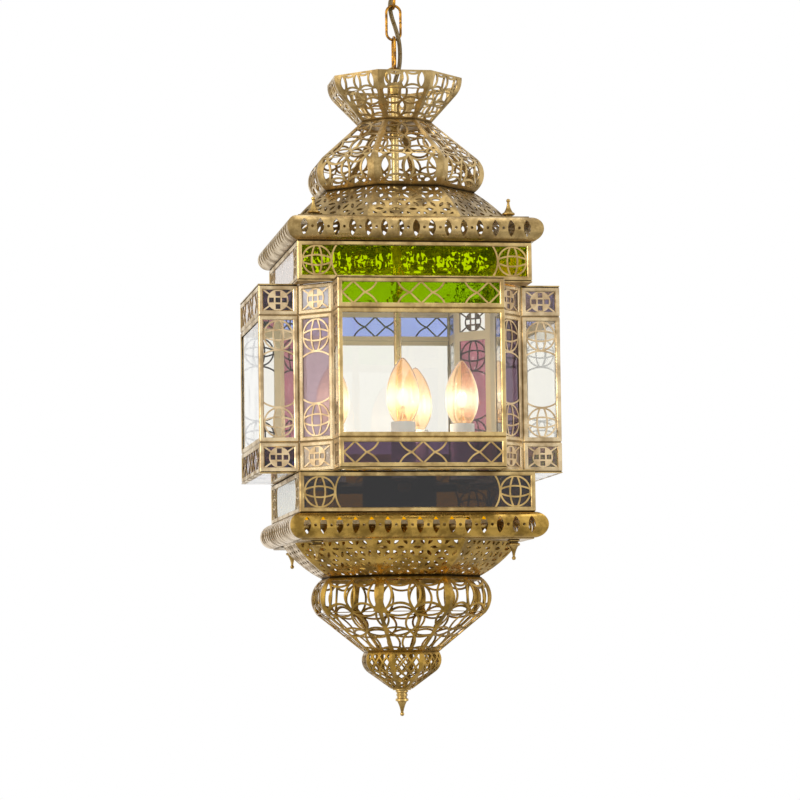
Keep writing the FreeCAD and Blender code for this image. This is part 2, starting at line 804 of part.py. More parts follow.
def make_door_hardware():
    """Two butt hinges at the rear bay's edge, their pins, and a small pull."""
    axis = (BAY_HALF + HINGE_OFF, BAY_REACH + HINGE_OFF)
    moving, fixed, pins = [], [], []
    for level in HINGE_LEVELS:
        barrel = tube(HINGE_RADIUS, HINGE_PIN + 0.15, 0, KNUCKLE - DOOR_ROOM)
        low = level - 1.5 * KNUCKLE
        for k in range(3):
            z = low + k * KNUCKLE
            knuckle = moved(barrel, *axis, z)
            if k == 1:
                tab = Part.makeBox(LEAF_REACH + HINGE_OFF, LEAF, KNUCKLE - DOOR_ROOM)
                tab = moved(tab, BAY_HALF - LEAF_REACH, BAY_REACH, z)
                moving.append(knuckle.fuse(tab.cut(cylinder(HINGE_PIN + 1, z, z + KNUCKLE, axis))))
            else:
                tab = Part.makeBox(LEAF, LEAF_REACH + HINGE_OFF, KNUCKLE - DOOR_ROOM)
                tab = moved(tab, BAY_HALF, BAY_REACH - LEAF_REACH, z)
                fixed.append(knuckle.fuse(tab.cut(cylinder(HINGE_PIN + 1, z, z + KNUCKLE, axis))))
        head = cylinder(HINGE_RADIUS, low + 3 * KNUCKLE, low + 3 * KNUCKLE + 1.2, axis)
        pins.append(cylinder(HINGE_PIN, low - 0.6, low + 3 * KNUCKLE, axis).fuse(head))
    neck, tip = ball(1.8, 3.2, 9.6, 1)
    pull = turned((0, 0), (3.2, 0), (3.2, 0.8), ((1.5, 2.2), neck), tip)
    pull.rotate(ORIGIN, Vector(1, 0, 0), -90)
    pull = moved(pull, -BAY_HALF + CAME / 2, BAY_REACH, (HINGE_LEVELS[0] + HINGE_LEVELS[1]) / 2)
    return moving, fixed, pins, [pull]


# Chain, loops, stem and ceiling fitting


def chain_link(top):
    """One welded link in the XZ plane, hanging from a level."""
    mean = (LINK_WIDTH - WIRE) / 2
    straight = LINK_LENGTH - LINK_WIDTH
    high = top - WIRE / 2 - mean
    low = high - straight
    wire = WIRE / 2
    ring = Part.makeTorus(mean, wire, Vector(0, 0, high), Vector(0, 1, 0))
    keep = Part.makeBox(40, 40, 40, Vector(-20, -20, high))
    upper = ring.common(keep)
    ring = Part.makeTorus(mean, wire, Vector(0, 0, low), Vector(0, 1, 0))
    lower = ring.common(moved(keep, z=low - high - 40))
    sides = [cylinder(wire, low, high, (x, 0)) for x in (-mean, mean)]
    return upper.multiFuse([lower, *sides]).removeSplitter()


def eye(centre, boss_low, boss_high, side):
    """A cast eye in the XZ plane with a boss bored for the flex; side is 1 with the boss on top."""
    ring = Part.makeTorus(LOOP_RADIUS, LOOP_WIRE / 2, Vector(0, 0, centre), Vector(0, 1, 0))
    waist = boss_low if side > 0 else boss_high
    boss = turned(
        (0, waist),
        (BOSS_RADIUS - 2.0, waist),
        (BOSS_RADIUS, waist + side * 3.0),
        (BOSS_RADIUS, boss_high if side > 0 else boss_low),
        (0, boss_high if side > 0 else boss_low),
    )
    bore = cylinder(FLEX_BORE, boss_low - 4, boss_high + 4)
    return ring.fuse(boss).cut(bore).removeSplitter()


def chain_levels():
    """The top of each link, from the lowest up, and the centres of the two eyes."""
    pitch = LINK_LENGTH - 2 * WIRE - LINK_PLAY
    tops = [LOWEST_LINK_TOP + i * pitch for i in range(3)]
    grip = WIRE + LINK_PLAY + LOOP_WIRE / 2
    lower_eye = tops[0] - LINK_LENGTH + grip - LOOP_RADIUS
    upper_eye = tops[2] - grip + LOOP_RADIUS
    return tops, lower_eye, upper_eye


def make_flex():
    """The flex as straight runs and tangent arcs, cut into lengths between the chain's joints."""
    points = [Vector(*p) for p in FLEX_ROUTE]
    edges = []
    here = points[0]
    for before, corner, after in zip(points, points[1:], points[2:]):
        back, on = before - corner, after - corner
        shorter = min(back.Length, on.Length)
        back.normalize()
        on.normalize()
        turn = pi - back.getAngle(on)
        cut = 0.45 * shorter
        radius = cut / tan(turn / 2)
        enter, leave = corner + back * cut, corner + on * cut
        half = (back + on).normalize()
        sagitta = radius / cos(turn / 2) - radius
        edges.append(Part.LineSegment(here, enter).toShape())
        edges.append(Part.Arc(enter, corner + half * sagitta, leave).toShape())
        here = leave
    edges.append(Part.LineSegment(here, points[-1]).toShape())
    wire = Part.Wire(edges)
    start = (points[1] - points[0]).normalize()
    section = Part.Wire(Part.makeCircle(FLEX / 2, points[0], start))
    whole = wire.makePipeShell([section], True, False)
    print(f"flex length {wire.Length:.1f}")
    pieces = []
    levels = (points[0].z + 5, *FLEX_CUTS, points[-1].z - 5)
    for high, low in zip(levels, levels[1:]):
        pieces.append(whole.common(Part.makeBox(60, 60, high - low, Vector(-30, -30, low))))
    return pieces


def make_hanging():
    """Ceiling fitting, chain and the parts on the lantern's stem, as named nodes."""
    tops, lower_eye, upper_eye = chain_levels()
    nodes = {}
    bar = Part.makeBox(*BAR_SIZE, Vector(-BAR_SIZE[0] / 2, -BAR_SIZE[1] / 2, -BAR_SIZE[2]))
    holes = [cylinder(SCREW_HOLE, -5, 1, (x, 0)) for x in (-SCREW_SPACING / 2, SCREW_SPACING / 2)]
    nodes["ceiling_bar"] = [bar.cut([*holes, cylinder(NIPPLE + FIT, -5, 1)])]
    t, r, foot = SHEET, CANOPY_RADIUS, -CANOPY_DEPTH
    nodes["canopy"] = [
        turned(
            (r, 0),
            (r, -4.0),
            ((r * 0.80, foot * 0.62), (16.0, foot)),
            (NIPPLE + FIT, foot),
            (NIPPLE + FIT, foot + t),
            (16.0, foot + t),
            ((r * 0.80 - 0.7 * t, foot * 0.62 + 0.9 * t), (r - t, -4.0)),
            (r - t, 0),
        )
    ]
    eye_top = upper_eye + LOOP_RADIUS
    nodes["canopy_eye"] = [eye(upper_eye, eye_top - 1.0, foot, 1)]
    nodes["canopy_nipple"] = [tube(NIPPLE, FLEX_BORE, foot, -0.2)]
    turns = [k * pi / 3 for k in range(6)]
    corners = [(LOCKNUT * cos(a), LOCKNUT * sin(a)) for a in turns]
    nut = moved(closed_face(corners[0], corners[1:]), z=-BAR_SIZE[2] - LOCKNUT_DEPTH)
    nodes["canopy_locknut"] = [nut.extrude(UP * LOCKNUT_DEPTH).cut(cylinder(NIPPLE + FIT, -9, 1))]
    names = ("chain_link_lower", "chain_link_middle", "chain_link_upper")
    for i, (name, top) in enumerate(zip(names, tops)):
        nodes[name] = [spun(chain_link(top), 0 if i == 1 else 90)]
    eye_foot = lower_eye - LOOP_RADIUS
    collar = NECK + 7.0
    stem_top = eye_foot - 11.0
    nodes["lantern_eye"] = [eye(lower_eye, stem_top, eye_foot + 1.5, -1)]
    disc_low = NECK - 1.0
    reach = NECK_PLATE / cos(pi / FACETS)
    turns = [(k + 0.5) * 2 * pi / FACETS for k in range(FACETS)]
    corners = [(reach * cos(a), reach * sin(a)) for a in turns]
    plate = moved(closed_face(corners[0], corners[1:]), z=disc_low).extrude(UP * 2.0)
    nodes["neck_plate"] = [plate.cut(cylinder(STEM + FIT, disc_low - 1, NECK + 5))]
    nodes["neck_nut"] = [
        turned(
            (STEM + FIT, disc_low + 2.0),
            (8.5, disc_low + 2.0),
            (8.5, disc_low + 4.0),
            ((6.2, NECK + 4.6), (7.0, collar)),
            (STEM + FIT, collar),
        )
    ]
    nodes["neck_spool"] = [
        turned(
            (STEM + FIT, disc_low),
            (6.4, disc_low),
            (6.4, disc_low - 1.6),
            ((4.7, disc_low - 6.0), (6.4, disc_low - 10.4)),
            (6.4, disc_low - 12.0),
            (STEM + FIT, disc_low - 12.0),
        )
    ]
    nodes["stem"] = [tube(STEM, STEM - 1.0, HUB_TOP - 3.0, stem_top)]
    return nodes


# Lamp cluster and finial


def bulb_glass(inset):
    """The outside of a candle bulb's glass, or its inside when inset by the wall."""
    r, h = BULB_RADIUS - inset, BULB_HEIGHT - inset
    nose = BULB_NOSE - inset / 2
    high = h - nose * (1 - sin(radians(40)))
    bend = radians(65)
    return [
        (9.4 - inset, 0),
        ((0.90 * r, 0.19 * h), (r, 0.38 * h)),
        ((0.79 * r, 0.70 * h), (nose * cos(radians(40)), high)),
        ((nose * cos(bend), h - nose * (1 - sin(bend))), (0, h)),
    ]


def make_cluster():
    nodes = {}
    t = SHEET
    low, high, r = HUB_FOOT, HUB_TOP, HUB_RADIUS
    nodes["cluster_hub"] = [
        turned(
            (STEM + FIT, high),
            (r - 5.0, high),
            ((r - 1.4, high - 1.4), (r, high - 5.0)),
            (r, low),
            (r - t, low),
            (r - t, high - 5.0),
            (r - 5.0, high - t),
            (STEM + FIT, high - t),
        )
    ]
    nodes["cluster_cover"] = [
        turned((0, low - 3.0), (8.0, low - 3.0), (10.0, low - t), (r, low - t), (r, low), (0, low))
    ]
    cup = turned(
        (0, ARM_LEVEL - 6.0),
        (5.0, ARM_LEVEL - 6.0),
        ((7.6, ARM_LEVEL), (6.0, ARM_LEVEL + 4.4)),
        (CUP_RADIUS, CUP_TOP - 1.4),
        (CUP_RADIUS, CUP_TOP),
        (0, CUP_TOP),
    )
    sleeve = tube(SLEEVE_RADIUS, SLEEVE_RADIUS - 1.0, CUP_TOP, SLEEVE_TOP)
    seat = SLEEVE_TOP - 27.0
    holder = turned(
        (0, CUP_TOP),
        (SLEEVE_RADIUS - 1.3, CUP_TOP),
        (SLEEVE_RADIUS - 1.3, SLEEVE_TOP - 1.0),
        (CAP_RADIUS + 0.3, SLEEVE_TOP - 1.0),
        (CAP_RADIUS + 0.3, seat),
        (0, seat),
    )
    foot = SLEEVE_TOP + 0.5
    cap = turned(
        (0, seat + 0.2),
        (2.4, seat + 0.2),
        (4.0, seat + 2.6),
        (CAP_RADIUS, seat + 4.6),
        (CAP_RADIUS, foot - 1.3),
        (CAP_RADIUS + 1.6, foot),
        (0, foot),
    )
    outer = turned((0, 0), *bulb_glass(0))
    inner = turned((0, 0), *bulb_glass(GLASS_WALL))
    candle = {
        "candle_cups": cup,
        "candle_sleeves": sleeve,
        "lamp_holders": holder,
        "bulb_caps": cap,
        "bulb_glasses": moved(outer.cut(inner), z=foot),
    }
    for reach, turn in ARMS:
        arm = Part.makeCylinder(ARM_RADIUS, reach, Vector(0, 0, ARM_LEVEL), Vector(1, 0, 0))
        arm = arm.cut([moved(cup, reach), cylinder(r, low - 10, high + 10)]).Solids[0]
        nodes.setdefault("cluster_arms", []).append(spun(arm, turn))
        for node, shape in candle.items():
            nodes.setdefault(node, []).append(spun(moved(shape, reach), turn))
    return nodes


def make_tail():
    """The cap that closes the drop, and the turned finial under it."""
    foot = DROP_FOOT
    cap = turned(
        (0, foot - 1.4),
        (9.6, foot - 1.4),
        (9.6, foot),
        (9.0, foot),
        (8.4, foot + 1.2),
        (0, foot + 1.2),
    )
    neck, end = ball(1.4, 2.2, LOWEST, -1)
    tip = turned(
        (0, foot - 1.4),
        (6.6, foot - 1.4),
        (6.6, foot - 3.4),
        (5.4, foot - 4.0),
        (5.4, foot - 5.2),
        (6.0, foot - 5.8),
        (6.0, foot - 7.0),
        (5.2, foot - 7.6),
        (5.2, foot - 9.6),
        (6.8, foot - 10.4),
        (6.8, foot - 12.6),
        (5.0, foot - 13.4),
        ((2.8, foot - 18.6), neck),
        end,
    )
    return {"drop_cap": [cap], "bottom_finial": [tip]}


def main():
    os.makedirs("parts", exist_ok=True)
    nodes = make_hanging()
    for i, piece in enumerate(make_flex()):
        nodes[f"flex_{i + 1}"] = [piece]
    nodes["crown"] = make_crown()
    nodes["upper_bulb"] = make_upper_bulb()
    nodes["roof_skirt"] = make_roof_skirt()
    nodes["lower_skirt"] = make_lower_skirt()
    nodes["lower_bulb"] = make_lower_bulb()
    nodes["drop"] = make_drop()
    nodes["roof_gallery"] = make_gallery(UPPER_BAND_TOP, GALLERY_TOP)
    nodes["foot_gallery"] = make_gallery(GALLERY_FOOT, LOWER_BAND_FOOT)
    nodes["corner_gussets"] = make_gussets(GALLERY_TOP) + make_gussets(GALLERY_FOOT - PLATE)
    nodes["corner_finials"] = make_corner_finials()
    nodes.update(make_panels())
    ledges = [make_ledges(z) for z in (BODY_TOP, BODY_FOOT - PLATE)]
    nodes["ledge_plates"] = [s for plates, _ in ledges for s in plates]
    nodes["glass_clear"] += [s for _, panes in ledges for s in panes]
    moving, fixed, pins, pull = make_door_hardware()
    nodes["door_hinge_leaves"] = moving
    nodes["hinge_posts"] = fixed
    nodes["hinge_pins"] = pins
    nodes["door_pull"] = pull
    nodes.update(make_cluster())
    nodes.update(make_tail())
    for node, solids in nodes.items():
        export(node, solids)
        faces = sum(len(s.Faces) for s in solids)
        good = all(s.isValid() for s in solids)
        count = sum(len(s.Solids) for s in solids)
        print(f"{node}: {count} solids, {faces} faces, valid {good}")
    print(f"{len(nodes)} nodes")


main()
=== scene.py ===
# %% [markdown]
# A hanging lantern of pierced brass and coloured glass. The brass shells, cames, frets, panes, chain and
# lamp cluster come from the construction model at their real size. This lesson gives each of them its
# finish, lays the flex through the chain, lights the bulbs and sets up the studio.
#
# Everything is in metres and in the construction model's own frame: the origin is on the ceiling, +Z is
# up, and the front bay faces -Y.

# %% Load the construction model
import math

import bpy
from mathutils import Matrix, Vector


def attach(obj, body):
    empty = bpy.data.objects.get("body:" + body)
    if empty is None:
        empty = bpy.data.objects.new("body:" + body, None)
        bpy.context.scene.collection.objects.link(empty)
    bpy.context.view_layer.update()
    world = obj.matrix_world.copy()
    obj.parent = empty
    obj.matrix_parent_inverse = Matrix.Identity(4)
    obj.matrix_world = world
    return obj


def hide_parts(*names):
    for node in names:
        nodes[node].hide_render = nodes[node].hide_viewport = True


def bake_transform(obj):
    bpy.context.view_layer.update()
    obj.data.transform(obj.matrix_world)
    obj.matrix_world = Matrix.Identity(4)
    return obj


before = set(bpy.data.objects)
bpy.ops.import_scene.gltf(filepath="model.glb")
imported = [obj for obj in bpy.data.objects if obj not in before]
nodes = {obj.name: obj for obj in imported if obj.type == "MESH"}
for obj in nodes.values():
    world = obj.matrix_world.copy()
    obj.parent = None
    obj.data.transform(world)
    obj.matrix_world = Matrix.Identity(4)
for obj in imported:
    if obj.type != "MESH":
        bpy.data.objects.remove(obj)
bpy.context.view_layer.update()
MM = 0.001

# %% [markdown]
# The camera stands where the photographer stood: a little to the left of the front bay, lower than the
# glazed body and looking up. A long lens from over three metres keeps the verticals nearly parallel. The
# place and the angles come from lining up the edges of the body and the domes.

# %% Camera
CAMERA_PLACE = Vector((-0.5294, -3.3182, -0.8119))
YAW, PITCH, ROLL = (math.radians(angle) for angle in (9.097, 5.118, -0.729))

camera = bpy.data.objects.new("camera", bpy.data.cameras.new("camera"))
bpy.context.scene.collection.objects.link(camera)
turn = Matrix.Rotation(-YAW, 4, "Z") @ Matrix.Rotation(math.pi / 2 + PITCH, 4, "X")
camera.matrix_world = Matrix.Translation(CAMERA_PLACE) @ turn @ Matrix.Rotation(ROLL, 4, "Z")
camera.data.sensor_width = 36.0
camera.data.lens = 143.37
camera.data.clip_end = 50.0
bpy.context.scene.camera = camera
print("camera:", round(CAMERA_PLACE.length, 2), "m from the ceiling plate, lens", camera.data.lens, "mm")

# %% [markdown]
# Colours are written as sRGB hex values, the way a paint chart or a picture editor shows them. Blender's
# sockets take linear light, so one function turns them over. A second small function adds any node with
# its settings and links: every material below is a short list of such calls.

# %% Colour and node helpers
MIX_A, MIX_B, MIX_COLOUR = 6, 7, 2


def linear(hex_code):
    """An sRGB hex value as the linear colour that a socket takes."""
    shown = [int(hex_code[i:i + 2], 16) / 255 for i in (1, 3, 5)]
    light = [c / 12.92 if c <= 0.04045 else ((c + 0.055) / 1.055) ** 2.4 for c in shown]
    return (*light, 1.0)


def add_node(tree, kind, settings, inputs):
    """Adds a node: settings are its properties, inputs are values or other nodes' outputs."""
    node = tree.nodes.new(kind)
    for name, value in settings.items():
        setattr(node, name, value)
    for name, value in inputs.items():
        if isinstance(value, bpy.types.NodeSocket):
            tree.links.new(value, node.inputs[name])
        else:
            node.inputs[name].default_value = value
    return node


def start_material(name):
    """An empty node material, its tree and the coordinates that stay with the piece, in metres."""
    material = bpy.data.materials.new(name)
    material.use_nodes = True
    tree = material.node_tree
    tree.nodes.clear()
    return material, tree, add_node(tree, "ShaderNodeTexCoord", {}, {}).outputs["Object"]


def finish_material(tree, shader):
    add_node(tree, "ShaderNodeOutputMaterial", {}, {"Surface": shader.outputs[0]})


def per_mm(size):
    """The scale of a pattern whose features are that many millimetres wide."""
    return 1.0 / (size * MM)


print("a mid brass is", [round(c, 3) for c in linear("#A88B4A")], "in linear light")

# %% [markdown]
# The studio is a white room: a pale floor 3.2 metres below the ceiling plate and a white surround. The
# surround shows white to the camera, in reflections and through glass, and lights the object more gently
# than it shows. The floor is lifted a little to the camera too, and still takes the lantern's shadow. Two
# soft boxes in front and one above give the brass its long highlights.

# %% Floor, surround and lamps
FLOOR_LEVEL = -3.2
FLOOR_SIZE = 12.0
FLOOR_LIFT = 0.4
SURROUND_LIGHT = 0.55


def make_floor():
    half = FLOOR_SIZE / 2
    mesh = bpy.data.meshes.new("floor")
    corners = [(-half, -half, 0), (half, -half, 0), (half, half, 0), (-half, half, 0)]
    mesh.from_pydata(corners, [], [(0, 1, 2, 3)])
    floor = bpy.data.objects.new("floor", mesh)
    floor.location.z = FLOOR_LEVEL
    bpy.context.scene.collection.objects.link(floor)
    material, tree, place = start_material("matt_white_paper")
    grain = add_node(tree, "ShaderNodeTexNoise", {}, {"Vector": place, "Scale": per_mm(30), "Detail": 2.0})
    shade = add_node(
        tree, "ShaderNodeMix", {"data_type": "RGBA"},
        {"Factor": grain.outputs["Fac"], MIX_A: linear("#F4F4F2"), MIX_B: linear("#EFEFED")},
    )
    path = add_node(tree, "ShaderNodeLightPath", {}, {})
    shown = add_node(
        tree, "ShaderNodeMapRange", {}, {"Value": path.outputs["Is Camera Ray"], "To Max": FLOOR_LIFT},
    )
    paper = add_node(
        tree, "ShaderNodeBsdfPrincipled", {},
        {"Base Color": shade.outputs[MIX_COLOUR], "Roughness": 0.9,
         "Emission Color": (1.0, 1.0, 1.0, 1.0), "Emission Strength": shown.outputs[0]},
    )
    finish_material(tree, paper)
    mesh.materials.append(material)


def make_surround():
    world = bpy.data.worlds.new("white_surround")
    bpy.context.scene.world = world
    world.use_nodes = True
    tree = world.node_tree
    tree.nodes.clear()
    path = add_node(tree, "ShaderNodeLightPath", {}, {})
    seen = add_node(
        tree, "ShaderNodeMath", {"operation": "MAXIMUM"},
        {0: path.outputs["Is Camera Ray"], 1: path.outputs["Is Glossy Ray"]},
    )
    shown = add_node(
        tree, "ShaderNodeMath", {"operation": "MAXIMUM"},
        {0: seen.outputs[0], 1: path.outputs["Is Transmission Ray"]},
    )
    strength = add_node(
        tree, "ShaderNodeMapRange", {},
        {"Value": shown.outputs[0], "To Min": SURROUND_LIGHT, "To Max": 1.0},
    )
    sky = add_node(
        tree, "ShaderNodeBackground", {},
        {"Color": (1.0, 1.0, 1.0, 1.0), "Strength": strength.outputs[0]},
    )
    add_node(tree, "ShaderNodeOutputWorld", {}, {"Surface": sky.outputs[0]})


def add_soft_box(name, place, aim, size, watts, hex_code):
    lamp = bpy.data.lights.new(name, "AREA")
    lamp.shape = "RECTANGLE"
    lamp.size, lamp.size_y = size
    lamp.energy = watts
    lamp.color = linear(hex_code)[:3]
    box = bpy.data.objects.new(name, lamp)
    box.location = place
    box.rotation_euler = (Vector(aim) - Vector(place)).to_track_quat("-Z", "Y").to_euler()
    bpy.context.scene.collection.objects.link(box)


BODY_MIDDLE = (0.0, 0.0, -0.5)
make_floor()
make_surround()
add_soft_box("key_soft_box", (-2.2, -1.3, 0.2), BODY_MIDDLE, (1.2, 1.8), 36.0, "#FFF8EE")
add_soft_box("fill_soft_box", (1.9, -1.4, -0.4), BODY_MIDDLE, (1.0, 1.6), 12.0, "#FFFFFF")
add_soft_box("top_soft_box", (0.2, 0.3, 1.2), BODY_MIDDLE, (1.4, 1.4), 6.0, "#FFFFFF")
bpy.context.scene.view_settings.view_transform = "Standard"
print("floor at", round(FLOOR_LEVEL, 3), "m")

# %% [markdown]
# The flex is a flat twin cord: two insulated cores side by side, joined by a thin web. It leaves the
# ceiling eye, wanders through the three links and goes into the eye on the lantern's stem. The route is
# the construction model's own list of points, used as control points of one smooth spline. A round bevel
# would lose the groove between the cores, so a figure-of-eight section is swept along the spline instead.
# The sweep is cut into four lengths, one across each chain joint.

# %% Flex through the chain
BODY_TOP = -0.400
FLEX_ROUTE = [
    (0.0, 0.0, 367.0), (0.1, 0.2, 357.5), (5.2, 5.2, 343.8), (0.6, 1.2, 328.0), (-4.6, 4.8, 311.5),
    (4.8, -4.8, 277.5), (6.2, -5.4, 259.0), (4.8, -4.8, 243.0), (0.8, -0.6, 232.0), (0.0, 0.0, 224.0),
]
FLEX_CUTS = (328.5, 294.0, 259.5)
FLEX_SPANS = (
    ("ceiling", "link_upper"), ("link_upper", "link_middle"),
    ("link_middle", "link_lower"), ("link_lower", "lantern"),
)
FLEX_WIDTH = 4.6 * MM
CORE_RADIUS = 1.12 * MM
WEB_HALF = 0.35 * MM
LOBE_STEPS = 14


def flex_line():
    """The points of the smooth spline that the route's points control."""
    curve = bpy.data.curves.new("flex_route", "CURVE")
    curve.dimensions = "3D"
    curve.resolution_u = 16
    spline = curve.splines.new("NURBS")
    spline.points.add(len(FLEX_ROUTE) - 1)
    for point, (x, y, z) in zip(spline.points, FLEX_ROUTE):
        point.co = (x * MM, y * MM, BODY_TOP + z * MM, 1.0)
    spline.order_u = 3
    spline.use_endpoint_u = True
    bare = bpy.data.objects.new("flex_route", curve)
    mesh = bpy.data.meshes.new_from_object(bare)
    line = [vertex.co.copy() for vertex in mesh.vertices]
    bpy.data.meshes.remove(mesh)
    bpy.data.curves.remove(curve)
    return line


def twin_section():
    """The figure-of-eight outline of two cores and the web between them."""
    apart = FLEX_WIDTH / 2 - CORE_RADIUS
    waist = math.asin(WEB_HALF / CORE_RADIUS)
    outline = []
    for side in (1, -1):
        first = -math.pi + waist if side > 0 else waist
        sweep_angle = 2 * (math.pi - waist)
        for i in range(LOBE_STEPS):
            angle = first + sweep_angle * i / (LOBE_STEPS - 1)
            outline.append((side * apart + CORE_RADIUS * math.cos(angle), CORE_RADIUS * math.sin(angle)))
    return outline


def sweep(line, section, across):
    """The points and faces of the section carried along the line, its first axis kept towards across."""
    points, faces = [], []
    count = len(section)
    for i, middle in enumerate(line):
        along = (line[min(i + 1, len(line) - 1)] - line[max(i - 1, 0)]).normalized()
        wide = (across - along * across.dot(along)).normalized()
        deep = along.cross(wide)
        points += [middle + wide * u + deep * v for u, v in section]
        if i:
            base = (i - 1) * count
            for k in range(count):
                n = (k + 1) % count
                faces.append((base + k, base + n, base + count + n, base + count + k))
    faces.append(tuple(reversed(range(count))))
    faces.append(tuple(range(len(points) - count, len(points))))
    return points, faces


def make_piece(name, shells):
    """One object from several shells of points and faces, smooth except on its end caps."""
    points, faces = [], []
    for shell_points, shell_faces in shells:
        base = len(points)
        points += shell_points
        faces += [tuple(base + k for k in face) for face in shell_faces]
    mesh = bpy.data.meshes.new(name)
    mesh.from_pydata(points, [], faces)
    for polygon in mesh.polygons:
        polygon.use_smooth = len(polygon.vertices) == 4
    piece = bpy.data.objects.new(name, mesh)
    bpy.context.scene.collection.objects.link(piece)
    return piece


def line_length(line):
    return sum((b - a).length for a, b in zip(line, line[1:]))


def make_flex():
    """The four lengths of flex, one across each chain joint."""
    line = flex_line()
    levels = [BODY_TOP + z * MM for z in FLEX_CUTS]
    cuts = [0, *(min(range(len(line)), key=lambda i: abs(line[i].z - z)) for z in levels), len(line) - 1]
    lengths = []
    for number, (first, last, span) in enumerate(zip(cuts, cuts[1:], FLEX_SPANS), 1):
        part = line[first:last + 1]
        piece = make_piece(f"twin_flex_{number}", [sweep(part, twin_section(), Vector((1.0, -0.35, 0.0)))])
        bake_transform(piece)
        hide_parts(f"flex_{number}")
        lengths.append(piece)
    print("flex:", round(line_length(line) * 1000, 1), "mm in", len(lengths), "lengths")
    return lengths


flex_lengths = make_flex()

# %% [markdown]
# Each link of the chain is bent from wire and welded shut in the middle of one straight side. The weld
# leaves a low collar, darker than the plating. A short fat tube round the wire is enough for that, and it
# rides on its link.

# %% Welds on the chain links
LINK_SIDE = 7.6
LINK_WIRE = 1.4
WELDS = {
    "link_lower": (0.0, -LINK_SIDE, 260.0),
    "link_middle": (LINK_SIDE, 0.0, 294.2),
    "link_upper": (0.0, -LINK_SIDE, 328.4),
}
WELD_PROFILE = ((-0.55, 0.0), (-0.3, 0.12), (0.0, 0.16), (0.3, 0.12), (0.55, 0.0))
ROUND_STEPS = 20


def round_shell(place, profile):
    """A turned shell about an upright axis, from a profile of (height, radius) in mm."""
    line = [Vector((place[0], place[1], place[2] + height)) * MM for height, _ in profile]
    points, faces = [], []
    for middle, (_, radius) in zip(line, profile):
        for k in range(ROUND_STEPS):
            angle = 2 * math.pi * k / ROUND_STEPS
            points.append(middle + Vector((math.cos(angle), math.sin(angle), 0.0)) * radius * MM)
    for i in range(len(profile) - 1):
        for k in range(ROUND_STEPS):
            n = (k + 1) % ROUND_STEPS
            low, high = i * ROUND_STEPS, (i + 1) * ROUND_STEPS
            faces.append((low + k, low + n, high + n, high + k))
    faces.append(tuple(reversed(range(ROUND_STEPS))))
    faces.append(tuple(range(len(points) - ROUND_STEPS, len(points))))
    return points, faces


def make_welds():
    welds = []
    for body, (x, y, z) in WELDS.items():
        profile = [(height, LINK_WIRE + rise) for height, rise in WELD_PROFILE]
        weld = make_piece(f"{body}_weld", [round_shell((x, y, z + BODY_TOP / MM), profile)])
        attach(weld, body)
        welds.append(weld)
    print("welds on:", list(WELDS))
    return welds


link_welds = make_welds()

# %% [markdown]
# The shells are pressed from thin brass sheet, pierced, soldered and then darkened with a wash that is
# rubbed back. Bright metal is left on the high parts and brown stays in blotches. The corners are darkened
# as well, partly by the wash's patina in the hollows and partly as painted shade. One function makes every
# brass here, because the pieces differ only in how bright, how blotchy and how polished they are; some are
# darker or paler copies of one brass, painted shade and painted light for how the lamps fall on them. The
# corners are found by ambient occlusion over a few millimetres, which is where a cloth doesn't reach and
# where shade gathers. The wash is a dull film, so it is rougher and less metallic than the rubbed brass.
# The cames are strips folded round the edges of the panes and soldered on the inside. Their inner faces
# take a pale colour: a lining of solder, and painted light from the bulbs inside as well. Those faces are
# found by their normals, which look at the axis.

# %% Brass finishes
FILM_ROUGHENS = 0.26
FILM_METAL = 0.72
BRIGHT_BELOW, BROWN_ABOVE = 0.38, 0.66
# Ambient occlusion levels between which the corners go from full painted shade and patina to none.
CORNER_FULL, CORNER_NONE = 0.40, 0.90
LOOKS_INWARD = -0.5
DENT_DEPTH = 0.3
# The pale colour of the cames' inner faces: solder, and painted light from the bulbs.
SOLDER_AND_BULB_LIGHT = "#F0E3C2"


def faces_axis(tree, place):
    """1 on faces that look towards the lantern's axis, and 0 on the others."""
    flat = add_node(tree, "ShaderNodeVectorMath", {"operation": "MULTIPLY"}, {0: place, 1: (1.0, 1.0, 0.0)})
    out = add_node(tree, "ShaderNodeVectorMath", {"operation": "NORMALIZE"}, {0: flat.outputs[0]})
    look = add_node(
        tree, "ShaderNodeVectorMath", {"operation": "DOT_PRODUCT"},
        {0: place.node.outputs["Normal"], 1: out.outputs[0]},
    )
    return add_node(
        tree, "ShaderNodeMath", {"operation": "LESS_THAN"}, {0: look.outputs["Value"], 1: LOOKS_INWARD},
    ).outputs[0]


